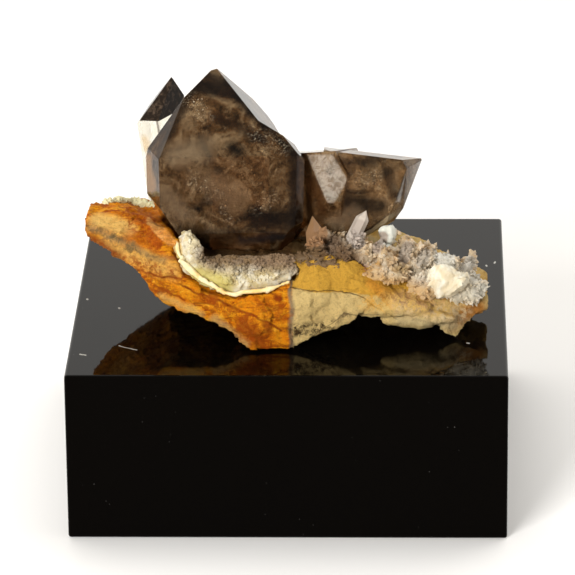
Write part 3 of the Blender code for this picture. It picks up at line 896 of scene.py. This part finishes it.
crust = {
    "voxel": 0.15,  # mm
    "chips": [(1.3, 0.35), (0.6, 0.4)],
    "mounds": [  # centre, half size
        ((-6.0, -12.9, 28.8), (5.0, 1.5, 0.6)),
        ((-1.2, -13.4, 29.2), (2.2, 1.4, 0.7)),
    ],
    "grains": 1300,
    "grainSize": (0.22, 0.62),  # mm
    "grainRadius": 0.5,  # before its size is applied, on a grain 1.12 long
    "lean": 1.2,  # radians, at most
    "glow": 1.0,
    "seed": 8,
    "color": (0.84, 0.68, 0.36),
    "bright": (1.0, 0.94, 0.76),
    "stain": (0.70, 0.56, 0.28),
    "roughness": 0.14,
    "ior": 1.42,
    "clear": 0.35,
    "wander": 0.28,
    "marks": [
        ((-12.6, -12.6, 31.4), (-12.3, -13.6, 29.9), 0.25, 0.35, (0.80, 0.52, 0.10), 0.85),
        ((-12.3, -13.6, 29.9), (-10.5, -14.9, 28.0), 0.25, 0.35, (0.82, 0.62, 0.20), 0.85),
        ((-10.5, -14.9, 28.0), (-6.6, -16.2, 26.6), 0.3, 0.4, (0.78, 0.66, 0.24), 0.85),
        ((-10.2, -14.6, 28.4), (-7.0, -15.8, 27.6), 0.4, 0.8, (0.72, 0.60, 0.16), 0.85),
        # the last two: painted shade at the root of the large crystals, going on from the rock's
        ((-8.4, -12.2, 29.8), (0.4, -12.8, 30.1), 1.0, 1.7, (0.30, 0.18, 0.09), 0.9),
        ((-2.6, -13.2, 29.4), (0.6, -13.8, 29.6), 0.6, 1.2, (0.34, 0.22, 0.13), 0.7),
    ],
}

crustRim = {
    "path": [
        (-12.6, -12.7, 31.6),
        (-12.3, -13.6, 30.2),
        (-10.6, -14.8, 28.5),
        (-8.2, -15.8, 27.2),
        (-6.3, -16.5, 26.6),
        (-4.8, -16.5, 26.8),
        (-2.6, -16.5, 27.0),
        (0.3, -16.0, 27.9),
    ],
    "radius": 0.28,  # mm
    "ends": (0.4, 0.3),  # the radius at both ends, as a share
    "chips": [(1.2, 0.4)],
    "clearance": 1.15,  # mm, no grains this close to the rim
    "forward": 0.5,  # mm, towards the camera
    "color": (0.86, 0.74, 0.44),
    "stain": (0.82, 0.54, 0.18),
    "roughness": 0.4,
}


def sugarQuartz(name, look, tints=()):  # small crystals, each cell a tone of its own
    shader = Shader(name)
    shader.wander(700, look["wander"])
    tone = shader.cells(1100, output="Color")
    bright = shader.add("ShaderNodeSeparateColor")
    shader.join(tone, bright.inputs[0])
    spots = shader.clouds(520, detail=6, warp=0.7, roughness=0.62)
    pale = shader.math("MULTIPLY", bright.outputs[0], look["glow"])
    color = shader.blend(pale, look["color"], look["bright"])
    color = shader.blend(shader.ramp(spots, [(0.48, 0.0), (0.66, 0.85)]), color, look["stain"])
    color = shader.paint(color, [*look["marks"], *tints])
    shader.set("Base Color", color)
    shader.bump(shader.clouds(3000, detail=4, warp=0.4), strength=0.08, distance=0.1 * mm)
    return shader.finish(look)


def cleared(body, path, reach):  # a copy without the faces near a path as the camera sees it
    line = [Vector(place) * mm for place in path]
    bm = bmesh.new()
    bm.from_mesh(body.data)
    near = []
    for face in bm.faces:
        centre = face.calc_center_median()
        for start, end in zip(line, line[1:]):
            way = end - start
            along = min(max((centre - start).dot(way) / way.length_squared, 0.0), 1.0)
            gap = centre - start - way * along
            gap = gap - sight * gap.dot(sight)
            if gap.length < reach * mm:
                near.append(face)
                break
    bmesh.ops.delete(bm, geom=near, context="FACES")
    return meshObject("bed", bm)


def makeCrust():
    material = sugarQuartz("paleCrustQuartz", crust)
    body = heaped(copyNode("quartz_crust", "paleCrust"), crust["mounds"])
    chipped(body, crust["voxel"], crust["chips"], cadBox)
    bed = cleared(body, crustRim["path"], crustRim["clearance"])
    joined(body, [grown(bed, crust, material)])
    settle(body, material, "quartz_crust")


def makeRim():  # the smooth lip below the crust
    shader = Shader("yellowRim")
    spots = shader.clouds(420, detail=5, warp=0.5, roughness=0.6)
    shader.set("Base Color", shader.ramp(spots, [(0.42, crustRim["color"]), (0.62, crustRim["stain"])]))
    shader.bump(shader.clouds(2200, detail=4), strength=0.4, distance=0.1 * mm)
    curve = bpy.data.curves.new("rim", "CURVE")
    curve.dimensions = "3D"
    curve.bevel_depth = crustRim["radius"] * mm
    curve.bevel_resolution = 3
    curve.use_fill_caps = True
    spline = curve.splines.new("BEZIER")
    spline.bezier_points.add(len(crustRim["path"]) - 1)
    for point, place in zip(spline.bezier_points, crustRim["path"]):
        point.co = (Vector(place) - sight * crustRim["forward"]) * mm
        point.handle_left_type = "AUTO"
        point.handle_right_type = "AUTO"
    spline.bezier_points[0].radius, spline.bezier_points[-1].radius = crustRim["ends"]
    line = addObject("rimLine", curve)
    graph = bpy.context.evaluated_depsgraph_get()
    body = addObject("crustRim", bpy.data.meshes.new_from_object(line.evaluated_get(graph)))
    bpy.data.objects.remove(line)
    chipped(body, crust["voxel"], crustRim["chips"], cadBox)
    settle(body, shader.finish(crustRim), None)


druse = {
    "voxel": 0.16,
    "chips": [(1.7, 0.5), (0.8, 0.45)],
    "mounds": [
        ((4.0, -12.8, 29.3), (3.4, 1.8, 0.8)),
        ((10.5, -12.6, 27.7), (3.2, 1.9, 1.1)),
        ((13.0, -9.0, 27.6), (4.0, 2.2, 1.1)),
        ((16.0, -12.0, 25.9), (3.2, 1.7, 1.3)),
        ((19.8, -10.9, 25.0), (2.9, 1.8, 1.5)),
        ((11.2, -7.6, 30.4), (0.95, 0.7, 1.05)),
    ],
    "grains": 1900,
    "grainSize": (0.3, 1.05),
    "grainRadius": 0.3,
    "lean": 0.7,
    "glow": 0.65,
    "seed": 21,
    "smooth": [(11.2, -7.6, 29.4), (11.2, -7.6, 31.4)],  # no grains near this line
    "clearance": 1.2,
    "color": (0.70, 0.50, 0.28),
    "bright": (1.0, 0.89, 0.70),
    "stain": (0.60, 0.33, 0.10),
    "roughness": 0.14,
    "ior": 1.42,
    "clear": 0.35,
    "wander": 0.36,
    "marks": [
        # this first one: painted shade at the root of the large crystals
        ((1.0, -9.8, 30.2), (5.4, -11.6, 29.6), 0.8, 2.2, (0.10, 0.055, 0.03), 0.9),
        ((8.2, -11.8, 27.9), (8.6, -11.8, 27.8), 0.3, 0.5, (0.28, 0.05, 0.006), 0.95),
        ((6.2, -12.4, 29.2), (6.8, -12.4, 29.0), 0.4, 0.6, (0.10, 0.05, 0.03), 0.8),
        ((12.6, -11.0, 27.6), (13.4, -11.0, 27.4), 0.3, 0.6, (0.40, 0.26, 0.10), 0.8),
        ((15.3, -11.6, 26.2), (15.8, -11.6, 26.0), 0.3, 0.6, (0.22, 0.11, 0.06), 0.85),
        ((17.4, -12.0, 24.0), (20.6, -12.0, 25.0), 0.4, 1.2, (0.80, 0.72, 0.50), 0.7),
        ((11.2, -7.6, 30.0), (11.2, -7.6, 30.8), 0.9, 0.4, (0.98, 0.98, 0.86), 1.0),
        ((16.5, -10.6, 26.6), (22.0, -10.4, 25.2), 1.6, 1.6, (0.98, 0.90, 0.74), 0.6),
        ((9.4, -13.6, 27.0), (16.0, -13.0, 25.0), 0.6, 1.2, (0.72, 0.42, 0.13), 0.65),
        # these last two: painted shade at the root of the large crystals
        ((0.2, -12.2, 29.2), (5.6, -12.6, 28.9), 1.0, 1.5, (0.22, 0.13, 0.06), 0.85),
        ((5.4, -10.4, 29.9), (7.4, -11.6, 29.0), 0.5, 1.4, (0.22, 0.13, 0.07), 0.8),
    ],
    "tintFrom": 0.4,  # share of a point's length that keeps the druse's colour
    "tintWidth": 0.45,  # share of a point's width
    "tintEdge": 0.25,  # mm
    "tintStrength": 0.9,
    "points": [  # base, tip, width in mm, colour
        ((6.6, -10.8, 29.4), (8.9, -8.0, 33.5), 1.9, (0.78, 0.68, 0.58)),
        ((7.9, -10.6, 29.2), (8.1, -9.2, 32.0), 1.6, (0.60, 0.50, 0.42)),
        ((9.9, -10.2, 28.7), (10.7, -8.9, 30.5), 1.3, (0.48, 0.38, 0.30)),
        ((13.0, -9.8, 27.6), (13.6, -8.7, 29.3), 1.3, (0.56, 0.46, 0.36)),
        ((15.1, -9.8, 27.0), (15.6, -8.9, 28.5), 1.3, (0.56, 0.48, 0.38)),
        ((5.0, -11.6, 29.2), (5.3, -10.6, 30.9), 1.3, (0.20, 0.13, 0.08)),
        ((3.3, -8.4, 28.9), (2.7, -7.3, 32.6), 3.3, (0.44, 0.235, 0.11)),
        ((17.6, -9.4, 26.2), (17.4, -8.7, 28.7), 1.4, (0.80, 0.76, 0.66)),
        ((18.7, -9.4, 26.0), (18.6, -8.9, 28.3), 1.2, (0.78, 0.74, 0.64)),
        ((19.8, -9.1, 25.9), (20.9, -8.5, 27.5), 1.4, (0.76, 0.70, 0.60)),
        ((21.0, -9.1, 25.0), (22.0, -8.9, 26.0), 1.3, (0.74, 0.68, 0.56)),
        ((21.4, -10.2, 24.2), (22.4, -10.4, 24.8), 1.5, (0.72, 0.66, 0.54)),
    ],
}


def crystalPoint(base, tip, width, index):  # one larger point of the druse, a little flattened
    way = (Vector(tip) - Vector(base)) * mm
    half = width * mm / 2
    pyramid = half * 1.1
    prism = way.length - pyramid
    shoulder = half * 0.86
    bm = sixSidedPoint(half, shoulder, prism, pyramid)
    squash = Matrix.Diagonal((1.0, 0.8, 1.0, 1.0))
    spin = Matrix.Rotation(index * 1.3, 4, "Z")  # so that no two look alike
    turn = way.to_track_quat("Z", "Y").to_matrix().to_4x4() @ spin
    shift = Matrix.Translation(Vector(base) * mm + way.normalized() * prism / 2)
    bmesh.ops.transform(bm, matrix=shift @ turn @ squash, verts=bm.verts)
    return meshObject("point", bm)


def makeDruse():
    tints = []
    points = []
    for i, (base, tip, width, color) in enumerate(druse["points"]):
        start = tuple(Vector(base).lerp(Vector(tip), druse["tintFrom"]))
        half = width * druse["tintWidth"]
        tints.append((start, tip, half, druse["tintEdge"], color, druse["tintStrength"]))
        points.append(crystalPoint(base, tip, width, i))
    material = sugarQuartz("wingDruseQuartz", druse, tints)
    body = heaped(copyNode("quartz_druse", "wingDruse"), druse["mounds"])
    chipped(body, druse["voxel"], druse["chips"], cadBox)
    bed = cleared(body, druse["smooth"], druse["clearance"])
    joined(body, [grown(bed, druse, material)] + points)
    settle(body, material, "quartz_druse")


whiteLump = {
    "place": (18.0, -12.7, 26.8),  # mm
    "half": (2.3, 1.3, 1.6),
    "chips": [(2.2, 0.75), (0.9, 0.6), (0.45, 0.4)],
    "color": (0.84, 0.79, 0.64),
    "shade": (0.70, 0.58, 0.38),
    "roughness": 0.35,
}


def makeLump():
    shader = Shader("milkyQuartz")
    veins = shader.clouds(600, detail=5, warp=0.6, roughness=0.6)
    shader.set("Base Color", shader.ramp(veins, [(0.4, whiteLump["shade"]), (0.62, whiteLump["color"])]))
    body = ball("whiteLump", whiteLump["place"], whiteLump["half"], 4)
    chipped(body, druse["voxel"], whiteLump["chips"], cadBox)
    settle(body, shader.finish(whiteLump), None)


edgeCrystals = {
    "path": [(-21.8, -3.2, 32.3), (-20.2, 0.2, 31.6), (-18.8, 3.0, 30.4), (-16.2, 2.4, 30.1)],
    "grains": 60,
    "width": 1.0,  # mm
    "grainSize": (0.4, 1.1),
    "grainRadius": 0.5,
    "lean": 0.9,
    "seed": 5,
    "color": (0.80, 0.72, 0.42),
    "roughness": 0.15,
    "ior": 1.4,
    "clear": 0.12,
}


def makeEdgeCrystals():
    shader = Shader("edgeQuartz")
    shader.set("Base Color", edgeCrystals["color"])
    material = shader.finish(edgeCrystals)
    bm = bmesh.new()
    rows = []
    half = edgeCrystals["width"] / 2
    for place in edgeCrystals["path"]:
        centre = Vector(place) * mm
        rows.append([bm.verts.new(centre + Vector((0, side * mm, 0))) for side in (-half, half)])
    for first, second in zip(rows, rows[1:]):
        bm.faces.new((first[0], second[0], second[1], first[1]))
    body = meshObject("edgeCrystals", bm)
    grown(body, edgeCrystals, material)
    settle(body, material, None)


placeCamera()
lightStudio()
stageReport("camera, lights and floor")
makeBlock()
stageReport("block")
makeRock()
stageReport("rock")
makeCrystal("main_crystal", "mainQuartz", mainCrystal)
makeCrystal("left_crystal", "leftQuartz", leftCrystal, leftTip)
makeCrystal("right_crystals", "rightQuartz", rightCrystals)
makeFlecks()
stageReport("large crystals")
makeCrust()
makeRim()
makeDruse()
makeLump()
makeEdgeCrystals()
stageReport("small crystals")
